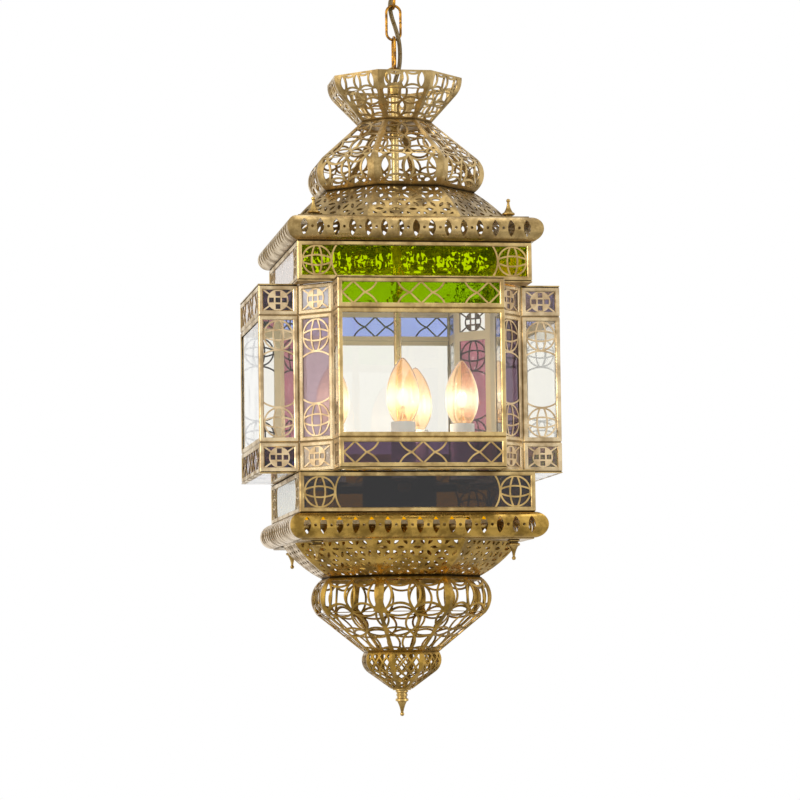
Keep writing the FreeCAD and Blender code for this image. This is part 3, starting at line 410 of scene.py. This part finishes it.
def aged_brass(name, bright, brown, patina_and_shade, blotch, gloss, dents, reach=4.0, solder_and_bulb_light=None):
    """Brass with brown blotches of that width in mm, corners darkened with patina and painted shade, and
    shallow dents of that width.
    """
    material, tree, place = start_material(name)
    cloud = add_node(
        tree, "ShaderNodeTexNoise", {},
        {"Vector": place, "Scale": per_mm(blotch), "Detail": 6.0, "Roughness": 0.66},
    )
    worn = add_node(
        tree, "ShaderNodeMapRange", {"interpolation_type": "SMOOTHSTEP"},
        {"Value": cloud.outputs["Fac"], "From Min": BRIGHT_BELOW, "From Max": BROWN_ABOVE},
    )
    metal = add_node(
        tree, "ShaderNodeMix", {"data_type": "RGBA"},
        {"Factor": worn.outputs[0], MIX_A: linear(bright), MIX_B: linear(brown)},
    )
    # The corners that ambient occlusion finds take a dark colour: patina in the hollows, and painted shade.
    open_sky = add_node(tree, "ShaderNodeAmbientOcclusion", {"samples": 8}, {"Distance": reach * MM})
    corner = add_node(
        tree, "ShaderNodeMapRange", {},
        {"Value": open_sky.outputs["AO"], "From Min": CORNER_FULL, "From Max": CORNER_NONE,
         "To Min": 1.0, "To Max": 0.0},
    )
    colour = add_node(
        tree, "ShaderNodeMix", {"data_type": "RGBA"},
        {"Factor": corner.outputs[0], MIX_A: metal.outputs[MIX_COLOUR], MIX_B: linear(patina_and_shade)},
    )
    film = add_node(
        tree, "ShaderNodeMath", {"operation": "MAXIMUM"}, {0: worn.outputs[0], 1: corner.outputs[0]},
    )
    # The faces that look at the axis take the pale colour: solder, and painted light from the bulbs inside.
    if solder_and_bulb_light:
        inner = faces_axis(tree, place)
        colour = add_node(
            tree, "ShaderNodeMix", {"data_type": "RGBA"},
            {"Factor": inner, MIX_A: colour.outputs[MIX_COLOUR], MIX_B: linear(solder_and_bulb_light)},
        )
        film = add_node(tree, "ShaderNodeMath", {"operation": "ADD"}, {0: film.outputs[0], 1: inner})
    polish = add_node(
        tree, "ShaderNodeMapRange", {},
        {"Value": film.outputs[0], "To Min": gloss, "To Max": gloss + FILM_ROUGHENS},
    )
    shine = add_node(
        tree, "ShaderNodeMapRange", {},
        {"Value": film.outputs[0], "To Min": 1.0, "To Max": FILM_METAL},
    )
    waves = add_node(
        tree, "ShaderNodeTexNoise", {}, {"Vector": place, "Scale": per_mm(dents), "Detail": 2.0},
    )
    dented = add_node(
        tree, "ShaderNodeBump", {},
        {"Height": waves.outputs["Fac"], "Strength": 0.5, "Distance": DENT_DEPTH * MM},
    )
    brass = add_node(
        tree, "ShaderNodeBsdfPrincipled", {},
        {"Base Color": colour.outputs[MIX_COLOUR], "Metallic": shine.outputs[0],
         "Roughness": polish.outputs[0], "Normal": dented.outputs[0]},
    )
    finish_material(tree, brass)
    return material


# Sheet rubbed back with a cloth: broad soft highlights between brown clouds.
upper_brass = aged_brass("rubbed_sheet_brass", "#C9AC74", "#8C7344", "#33260F", 20.0, 0.24, 6.0)
# The lower bulb and drop take a darker, more olive copy: painted shade for parts that get less light from
# below.
lower_brass = aged_brass("underside_shaded_sheet_brass", "#BD9646", "#7D6122", "#2C2009", 20.0, 0.24, 6.0)
# The roof skirt takes a darker copy: painted shade where the top soft box brightens it.
roof_brass = aged_brass("roof_shaded_sheet_brass", "#AA8F5A", "#6C5733", "#2C210D", 20.0, 0.24, 6.0)
# The lower skirt and foot gallery take an olive-gold copy too, painted shade from below, and are more
# polished.
foot_brass = aged_brass("polished_sheet_brass", "#CDA654", "#866826", "#2C2009", 20.0, 0.17, 6.0)
# Drawn and folded strip: long thin glints along its edges, and dark lines at the joints.
came_brass = aged_brass(
    "drawn_came_brass", "#D2B67C", "#9C8050", "#2A1F0D", 26.0, 0.22, 9.0, 1.6, SOLDER_AND_BULB_LIGHT,
)
# The piers take paler copies of the came and fret brass: painted light on the side faces that the key and
# fill lamps fall on, while the front cames and frets stay darker and more golden as painted shade.
lit_pier_brass = aged_brass(
    "pier_came_brass_painted_lit", "#E2CCA4", "#B09872", "#2E2414", 26.0, 0.22, 9.0, 1.6, SOLDER_AND_BULB_LIGHT,
)
# Frets cut from sheet: flat and satin, so that they read as drawn lines on the glass.
fret_brass = aged_brass("cut_fret_brass", "#CDAE72", "#A0834E", "#5A431C", 22.0, 0.28, 5.0, 0.8)
# Paler copy for the piers' frets: painted light, as for their cames.
lit_pier_fret_brass = aged_brass("pier_fret_brass_painted_lit", "#E2C9A0", "#BA9F78", "#5E4A28", 22.0, 0.28, 5.0, 0.8)
# Tube and castings turned on a lathe: small bright highlights. The chain is lacquered and the warmest.
tube_brass = aged_brass("drawn_tube_brass", "#F0D898", "#CDAA5E", "#4A3816", 40.0, 0.20, 12.0)
turned_brass = aged_brass("turned_cast_brass", "#CBAA66", "#86692F", "#2E210C", 10.0, 0.22, 4.0, 2.0)
chain_brass = aged_brass("lacquered_chain_brass", "#C08A30", "#6E4614", "#241304", 6.0, 0.16, 3.0, 3.0)
spun_brass = aged_brass("spun_canopy_brass", "#CDAB68", "#A08142", "#3A2A10", 45.0, 0.24, 12.0)
print("brass finishes:", [m.name for m in bpy.data.materials if "brass" in m.name])

# %% [markdown]
# The panes are cathedral glass: sheet glass coloured all through, rolled on a textured table. What shows
# is the colour of whatever is behind it, bent by the ripples. A closed slab with a transmitting shader
# does both, because light is tinted as it goes in and comes out, and the bump bends it each time. Sheets
# of one colour differ from batch to batch, so a few panes take a tint of their own by where they stand.

# %% Glass finishes


def inside(tree, place, middle, half):
    """1 inside an upright box given by its middle and half its size in mm, and 0 outside it."""
    offset = add_node(
        tree, "ShaderNodeVectorMath", {"operation": "SUBTRACT"}, {0: place, 1: [x * MM for x in middle]},
    )
    size = add_node(tree, "ShaderNodeVectorMath", {"operation": "ABSOLUTE"}, {0: offset.outputs[0]})
    share = add_node(
        tree, "ShaderNodeVectorMath", {"operation": "DIVIDE"},
        {0: size.outputs[0], 1: [x * MM for x in half]},
    )
    parts = add_node(tree, "ShaderNodeSeparateXYZ", {}, {"Vector": share.outputs[0]})
    most = add_node(
        tree, "ShaderNodeMath", {"operation": "MAXIMUM"}, {0: parts.outputs["X"], 1: parts.outputs["Y"]},
    )
    most = add_node(
        tree, "ShaderNodeMath", {"operation": "MAXIMUM"}, {0: most.outputs[0], 1: parts.outputs["Z"]},
    )
    return add_node(
        tree, "ShaderNodeMath", {"operation": "LESS_THAN"}, {0: most.outputs[0], 1: 1.0},
    ).outputs[0]


def rolled_glass(name, tint, ripple, depth, streak=0.16, milk=0.0, batches=(), shine="#FFFFFF"):
    """Glass with ripples of that width and depth in mm; a batch is a box with its own tint and milk."""
    material, tree, place = start_material(name)
    colour, clear = linear(tint), 1.0 - milk
    for middle, half, batch_tint, batch_milk in batches:
        here = inside(tree, place, middle, half)
        colour = add_node(
            tree, "ShaderNodeMix", {"data_type": "RGBA"},
            {"Factor": here, MIX_A: colour, MIX_B: linear(batch_tint)},
        ).outputs[MIX_COLOUR]
        if batch_milk != milk:
            clear = add_node(
                tree, "ShaderNodeMix", {"data_type": "FLOAT"},
                {"Factor": here, "A": clear, "B": 1.0 - batch_milk},
            ).outputs[0]
    streaks = add_node(
        tree, "ShaderNodeTexNoise", {},
        {"Vector": place, "Scale": per_mm(ripple * 4), "Detail": 3.0},
    )
    shade = add_node(
        tree, "ShaderNodeMapRange", {},
        {"Value": streaks.outputs["Fac"], "From Min": 0.3, "From Max": 0.7, "To Min": 1.0 - streak},
    )
    streaked = add_node(
        tree, "ShaderNodeHueSaturation", {}, {"Color": colour, "Value": shade.outputs[0]},
    )
    hammer = add_node(
        tree, "ShaderNodeTexNoise", {},
        {"Vector": place, "Scale": per_mm(ripple), "Detail": 1.0, "Roughness": 0.4},
    )
    rolled = add_node(
        tree, "ShaderNodeBump", {},
        {"Height": hammer.outputs["Fac"], "Strength": 1.0, "Distance": depth * MM},
    )
    glass = add_node(
        tree, "ShaderNodeBsdfPrincipled", {},
        {"Base Color": streaked.outputs[0], "Roughness": 0.0, "IOR": 1.5, "Specular Tint": linear(shine),
         "Transmission Weight": clear, "Normal": rolled.outputs[0]},
    )
    finish_material(tree, glass)
    return material


TOP_ROW, MAIN_ROW, LOW_ROW = -415.6, -496.8, -577.8
PANE, TALL_PANE = (24.0, 24.0, 14.0), (24.0, 24.0, 64.0)
FRONT_LEFT, FRONT_RIGHT = (-101.5, -101.5), (101.5, -101.5)
# Hammered glass breaks what is behind it into bright and dark flecks.
green_glass = rolled_glass(
    "hammered_green_glass", "#BEDC00", 8.0, 1.1, shine="#A6D000",
    batches=[((0.0, 0.0, TOP_ROW), (160.0, 160.0, 14.0), "#86B404", 0.0)],
)
amber_glass = rolled_glass("hammered_amber_glass", "#FFB000", 8.0, 0.9, shine="#FFB000")
# Seedy and rolled glass only waves what is behind it; opal glass is milky and holds the light.
blue_glass = rolled_glass(
    "seedy_blue_glass", "#9FB1F6", 12.0, 0.15,
    batches=[((*FRONT_LEFT, TOP_ROW), PANE, "#EDEBF4", 0.55)],
)
opal_glass = rolled_glass(
    "pale_opal_glass", "#EADACE", 8.0, 0.3, 0.06, 0.6,
    [((-122.0, 0.0, -615.0), (8.0, 122.0, 24.0), "#E4E6D2", 0.6)],
)
purple_glass = rolled_glass(
    "rolled_purple_glass", "#573F58", 14.0, 0.15,
    batches=[
        ((*FRONT_LEFT, MAIN_ROW), TALL_PANE, "#D0B6C0", 0.40),
        ((*FRONT_RIGHT, MAIN_ROW), TALL_PANE, "#83687C", 0.2),
        ((0.0, -122.0, -615.0), (122.0, 8.0, 24.0), "#464149", 0.0),
    ],
)
slate_glass = rolled_glass("rolled_mauve_glass", "#B49C9E", 14.0, 0.15, milk=0.2)
rose_glass = rolled_glass(
    "hammered_rose_glass", "#B46C78", 6.0, 0.8, 0.34,
    batches=[
        ((*FRONT_LEFT, LOW_ROW), PANE, "#F0DEC8", 0.6),
        ((*FRONT_RIGHT, LOW_ROW), PANE, "#D8BCA4", 0.4),
        ((*FRONT_RIGHT, TOP_ROW), PANE, "#B49A90", 0.3),
    ],
)
# Drawn sheet is nearly flat, so the inside shows plainly and only reflections give it away.
clear_glass = rolled_glass("clear_sheet_glass", "#FCFBF6", 40.0, 0.10, 0.02)
print("glass finishes:", [m.name for m in bpy.data.materials if "glass" in m.name])

# %% [markdown]
# The candle bulbs are thin glass, warm in tint, around a hot filament. The light that the filament throws
# on the inside of the glass fades from cream at the filament's height to peach at the tip, so a faint glow
# is set by height on the bulb, and not by the view.

# %% Bulb glass
SLEEVE_TOP = BODY_TOP - 0.139
BULB_FOOT = SLEEVE_TOP + 0.0005
BULB_HEIGHT = 0.067
BULB_GLOW = 0.30
GLOW_COLOURS = (
    (0.0, "#FFC98C"), (0.18, "#FFE0B0"), (0.38, "#FFF0D8"), (0.56, "#FFDDB0"), (0.78, "#FFC48C"),
    (1.0, "#F0A872"),
)
GLOW_SHARES = ((0.0, 0.30), (0.18, 0.60), (0.38, 1.0), (0.56, 0.60), (0.78, 0.30), (1.0, 0.22))


def lit_bulb_glass():
    material, tree, place = start_material("lit_bulb_glass")
    level = add_node(tree, "ShaderNodeSeparateXYZ", {}, {"Vector": place})
    share = add_node(
        tree, "ShaderNodeMapRange", {},
        {"Value": level.outputs["Z"], "From Min": BULB_FOOT, "From Max": BULB_FOOT + BULB_HEIGHT},
    )
    glow = add_node(tree, "ShaderNodeValToRGB", {}, {"Fac": share.outputs[0]})
    stops = glow.color_ramp.elements
    while len(stops) < len(GLOW_COLOURS):
        stops.new(0.5)
    for stop, (position, hex_code) in zip(stops, GLOW_COLOURS):
        stop.position, stop.color = position, linear(hex_code)
    power = add_node(tree, "ShaderNodeFloatCurve", {}, {"Value": share.outputs[0]})
    curve = power.mapping.curves[0]
    while len(curve.points) < len(GLOW_SHARES):
        curve.points.new(0.5, 0.5)
    for point, spot in zip(curve.points, GLOW_SHARES):
        point.location = spot
    power.mapping.update()
    strength = add_node(
        tree, "ShaderNodeMath", {"operation": "MULTIPLY"}, {0: power.outputs[0], 1: BULB_GLOW},
    )
    glass = add_node(
        tree, "ShaderNodeBsdfPrincipled", {},
        {"Base Color": linear("#FBEAD4"), "Roughness": 0.02, "IOR": 1.5, "Transmission Weight": 1.0,
         "Emission Color": glow.outputs[0], "Emission Strength": strength.outputs[0]},
    )
    finish_material(tree, glass)
    return material


bulb_glass = lit_bulb_glass()
print("bulb glass glows from", round(BULB_FOOT, 4), "to", round(BULB_FOOT + BULB_HEIGHT, 4), "m")

# %% [markdown]
# Inside each bulb a stub of glass holds two lead wires, and the filament hangs between their tips and a
# middle support. They are built for a close look: a turned stub, and fine round wires swept along short
# polylines. A lit filament dazzles, so its glare is built too: an egg of light round it and a thinner egg
# round that, both fading out above and below. All four bulbs share one object for each kind of part, and
# each rides on the lantern.

# %% Filaments, leads, mounts and glare
ARMS = ((55.0, -94.0), (70.0, -26.0), (55.0, 61.0), (69.0, 171.0))
MOUNT_PROFILE = ((0.3, 4.6), (3.0, 4.2), (7.0, 2.6), (12.0, 2.0), (15.0, 2.3), (16.2, 1.6))
LEADS = (
    ((-1.2, 15.0), (-2.2, 19.0), (-5.0, 27.0)),
    ((1.2, 15.0), (2.2, 19.0), (5.0, 27.0)),
    ((0.0, 15.0), (0.0, 29.5)),
)
FILAMENT = ((-5.0, 27.0), (-3.4, 31.5), (-1.8, 32.5), (0.0, 29.4), (1.8, 32.5), (3.4, 31.5), (5.0, 27.0))
LEAD_WIRE, FILAMENT_COIL = 0.28, 0.42
WIRE_STEPS = 8
GLARE_MIDDLE = 26.0
GLARE_CORE, GLARE_HALO = (5.6, 9.5), (9.6, 15.0)
GLARE_STEPS = 16


def wire_shell(foot, turn, points, radius):
    """A round wire through points given as (across, up) in mm, in an upright plane at that turn."""
    across = Vector((math.cos(turn), math.sin(turn), 0.0))
    line = [foot + (across * u + Vector((0.0, 0.0, v))) * MM for u, v in points]
    turns = [2 * math.pi * k / WIRE_STEPS for k in range(WIRE_STEPS)]
    section = [(radius * MM * math.cos(a), radius * MM * math.sin(a)) for a in turns]
    return sweep(line, section, Vector((-math.sin(turn), math.cos(turn), 0.0)))


def glare_profile(radius, half):
    """An egg of light about the filament, as (height, radius) in mm above the bulb's foot."""
    angles = [math.pi * k / GLARE_STEPS for k in range(1, GLARE_STEPS)]
    return [(GLARE_MIDDLE - half * math.cos(a), radius * math.sin(a)) for a in angles]


def make_bulb_insides():
    mounts, leads, filaments, cores, halos = [], [], [], [], []
    for reach, degrees in ARMS:
        turn = math.radians(degrees)
        x, y = reach * math.cos(turn), reach * math.sin(turn)
        foot = Vector((x * MM, y * MM, BULB_FOOT))
        mounts.append(round_shell((x, y, BULB_FOOT / MM), MOUNT_PROFILE))
        leads += [wire_shell(foot, turn, points, LEAD_WIRE) for points in LEADS]
        filaments.append(wire_shell(foot, turn, FILAMENT, FILAMENT_COIL))
        cores.append(round_shell((x, y, BULB_FOOT / MM), glare_profile(*GLARE_CORE)))
        halos.append(round_shell((x, y, BULB_FOOT / MM), glare_profile(*GLARE_HALO)))
    pieces = [
        make_piece("bulb_mounts", mounts),
        make_piece("bulb_leads", leads),
        make_piece("filaments", filaments),
        make_piece("glare_cores", cores),
        make_piece("glare_halos", halos),
    ]
    for piece in pieces:
        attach(piece, "lantern")
        print(piece.name, len(piece.data.polygons), "faces")
    return pieces


def glowing_tungsten():
    """White-hot wire, a little yellower towards its cooler ends."""
    material, tree, place = start_material("glowing_tungsten")
    level = add_node(tree, "ShaderNodeSeparateXYZ", {}, {"Vector": place})
    heat = add_node(
        tree, "ShaderNodeMapRange", {},
        {"Value": level.outputs["Z"], "From Min": BULB_FOOT + 27 * MM, "From Max": BULB_FOOT + 31 * MM},
    )
    colour = add_node(
        tree, "ShaderNodeMix", {"data_type": "RGBA"},
        {"Factor": heat.outputs[0], MIX_A: linear("#FFD08A"), MIX_B: linear("#FFF6E6")},
    )
    wire = add_node(
        tree, "ShaderNodeBsdfPrincipled", {},
        {"Base Color": linear("#3A3630"), "Roughness": 0.5, "Metallic": 1.0,
         "Emission Color": colour.outputs[MIX_COLOUR], "Emission Strength": 12.0},
    )
    finish_material(tree, wire)
    return material


def glare(name, hex_code, strength, cover):
    """Light that hides part of what is behind it, and fades out towards the top and foot of its egg."""
    material, tree, place = start_material(name)
    level = add_node(tree, "ShaderNodeSeparateXYZ", {}, {"Vector": place})
    middle = BULB_FOOT + GLARE_MIDDLE * MM
    away = add_node(tree, "ShaderNodeMath", {"operation": "SUBTRACT"}, {0: level.outputs["Z"], 1: middle})
    off = add_node(tree, "ShaderNodeMath", {"operation": "ABSOLUTE"}, {0: away.outputs[0]})
    thin = add_node(
        tree, "ShaderNodeMapRange", {"interpolation_type": "SMOOTHSTEP"},
        {"Value": off.outputs[0], "From Min": 0.0, "From Max": GLARE_HALO[1] * MM,
         "To Min": cover, "To Max": 0.0},
    )
    light = add_node(
        tree, "ShaderNodeBsdfPrincipled", {},
        {"Base Color": linear("#000000"), "Roughness": 1.0, "Specular IOR Level": 0.0,
         "Emission Color": linear(hex_code), "Emission Strength": strength, "Alpha": thin.outputs[0]},
    )
    finish_material(tree, light)
    return material


bulb_mounts, bulb_leads, filaments, glare_cores, glare_halos = make_bulb_insides()
tungsten = glowing_tungsten()
# White at the core and cream in the halo, as a lens sees a bare filament.
core_glare = glare("filament_glare_core", "#FFF8EC", 1.6, 0.75)
halo_glare = glare("filament_glare_halo", "#FFEBCE", 1.3, 0.55)
mount_glass = rolled_glass("pressed_mount_glass", "#FFF6EA", 4.0, 0.05, 0.02)

# %% [markdown]
# The four bulbs light the inside of the lantern. One soft lamp between them stands for that light, and it
# rides on the lantern. It lights surfaces only and doesn't show itself.

# %% Light of the bulbs
BULB_WATTS = 0.45


def add_bulb_light():
    lamp = bpy.data.lights.new("bulb_light", "POINT")
    lamp.energy = BULB_WATTS
    lamp.color = linear("#FFE9CC")[:3]
    lamp.shadow_soft_size = 0.02
    light = bpy.data.objects.new("bulb_light", lamp)
    light.location = (0.0, 0.0, BULB_FOOT + GLARE_MIDDLE * MM)
    bpy.context.scene.collection.objects.link(light)
    light.visible_camera = light.visible_glossy = light.visible_transmission = False
    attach(light, "lantern")
    print("bulb light:", BULB_WATTS, "W")


add_bulb_light()

# %% [markdown]
# The rest are small plain materials: the cream card sleeve of each candle, the white lamp holder inside
# it, the blackened steel of the hub and arms, bright zinc on the ceiling bar, and the flex's tinted
# plastic.

# %% Sleeve, holder, steel and flex finishes


def plain_finish(name, first, second, grain, gloss, metal=0.0, depth=0.05, glow=0.0):
    """A fine mottle of that width in mm between two colours, with a painted glow of that strength in the
    first colour.
    """
    material, tree, place = start_material(name)
    mottle = add_node(
        tree, "ShaderNodeTexNoise", {}, {"Vector": place, "Scale": per_mm(grain), "Detail": 4.0},
    )
    colour = add_node(
        tree, "ShaderNodeMix", {"data_type": "RGBA"},
        {"Factor": mottle.outputs["Fac"], MIX_A: linear(first), MIX_B: linear(second)},
    )
    relief = add_node(
        tree, "ShaderNodeBump", {},
        {"Height": mottle.outputs["Fac"], "Strength": 0.4, "Distance": depth * MM},
    )
    shader = add_node(
        tree, "ShaderNodeBsdfPrincipled", {},
        {"Base Color": colour.outputs[MIX_COLOUR], "Roughness": gloss, "Metallic": metal,
         "Normal": relief.outputs[0], "Emission Color": linear(first), "Emission Strength": glow},
    )
    finish_material(tree, shader)
    return material


# Waxed card is matt white, with a faint painted glow for the bulb's light on it; moulded plastic is
# smoother.
sleeve_card = plain_finish("waxed_card_sleeve", "#FDFCF8", "#F7F5EF", 3.0, 0.45, glow=0.16)
holder_plastic = plain_finish("moulded_white_holder", "#F2F0EA", "#E6E3DB", 5.0, 0.35)
# Blackened steel drops back into the shade; zinc is bright and grey; a weld is scorched dark.
black_steel = plain_finish("blackened_steel", "#2B2622", "#171412", 4.0, 0.4, 0.8)
zinc_steel = plain_finish("zinc_plated_steel", "#C9C9C6", "#A9AAA8", 3.0, 0.3, 1.0)
weld_steel = plain_finish("scorched_weld_steel", "#5A3E14", "#2E1F0A", 1.5, 0.4, 0.9)
# Tinted plastic is glossy, so each core carries one thin light line.
flex_plastic = plain_finish("gold_tinted_flex", "#8A7440", "#5A4414", 2.5, 0.3)

# %% [markdown]
# Each construction node takes its finish in its own material slot. Nothing is moved or reshaped.

# %% Give every node its finish
FINISHES = {
    upper_brass: (
        "crown", "upper_bulb", "roof_gallery", "corner_gussets", "neck_plate", "ledge_plates",
    ),
    roof_brass: ("roof_skirt",),
    lower_brass: ("lower_bulb", "drop"),
    foot_brass: ("lower_skirt", "foot_gallery"),
    tube_brass: ("stem",),
    came_brass: ("band_cames", "bay_cames", "door_came"),
    fret_brass: ("band_frets", "bay_frets"),
    lit_pier_brass: ("pier_cames",),
    lit_pier_fret_brass: ("pier_frets", "square_frets"),
    turned_brass: (
        "canopy_eye", "lantern_eye", "neck_nut", "neck_spool", "corner_finials", "drop_cap", "bottom_finial",
        "door_hinge_leaves", "hinge_posts", "hinge_pins", "door_pull", "candle_cups", "bulb_caps",
    ),
    chain_brass: ("chain_link_upper", "chain_link_middle", "chain_link_lower"),
    spun_brass: ("canopy",),
    green_glass: ("glass_green",),
    amber_glass: ("glass_amber",),
    blue_glass: ("glass_blue",),
    opal_glass: ("glass_opal",),
    purple_glass: ("glass_purple",),
    slate_glass: ("glass_slate",),
    rose_glass: ("glass_rose",),
    clear_glass: ("glass_clear", "door_glass"),
    bulb_glass: ("bulb_glasses",),
    sleeve_card: ("candle_sleeves",),
    holder_plastic: ("lamp_holders",),
    black_steel: ("cluster_hub", "cluster_cover", "cluster_arms"),
    zinc_steel: ("ceiling_bar", "canopy_nipple", "canopy_locknut"),
}


def give_finish(node, material):
    slot = nodes[node].material_slots[0]
    slot.link = "OBJECT"
    slot.material = material


for material, names in FINISHES.items():
    for node in names:
        give_finish(node, material)
NEW_PIECES = {
    flex_plastic: flex_lengths,
    weld_steel: link_welds,
    mount_glass: [bulb_mounts],
    zinc_steel: [bulb_leads],
    tungsten: [filaments],
    core_glare: [glare_cores],
    halo_glare: [glare_halos],
}
for material, pieces in NEW_PIECES.items():
    for piece in pieces:
        piece.data.materials.append(material)
print("finished nodes:", sum(len(names) for names in FINISHES.values()))
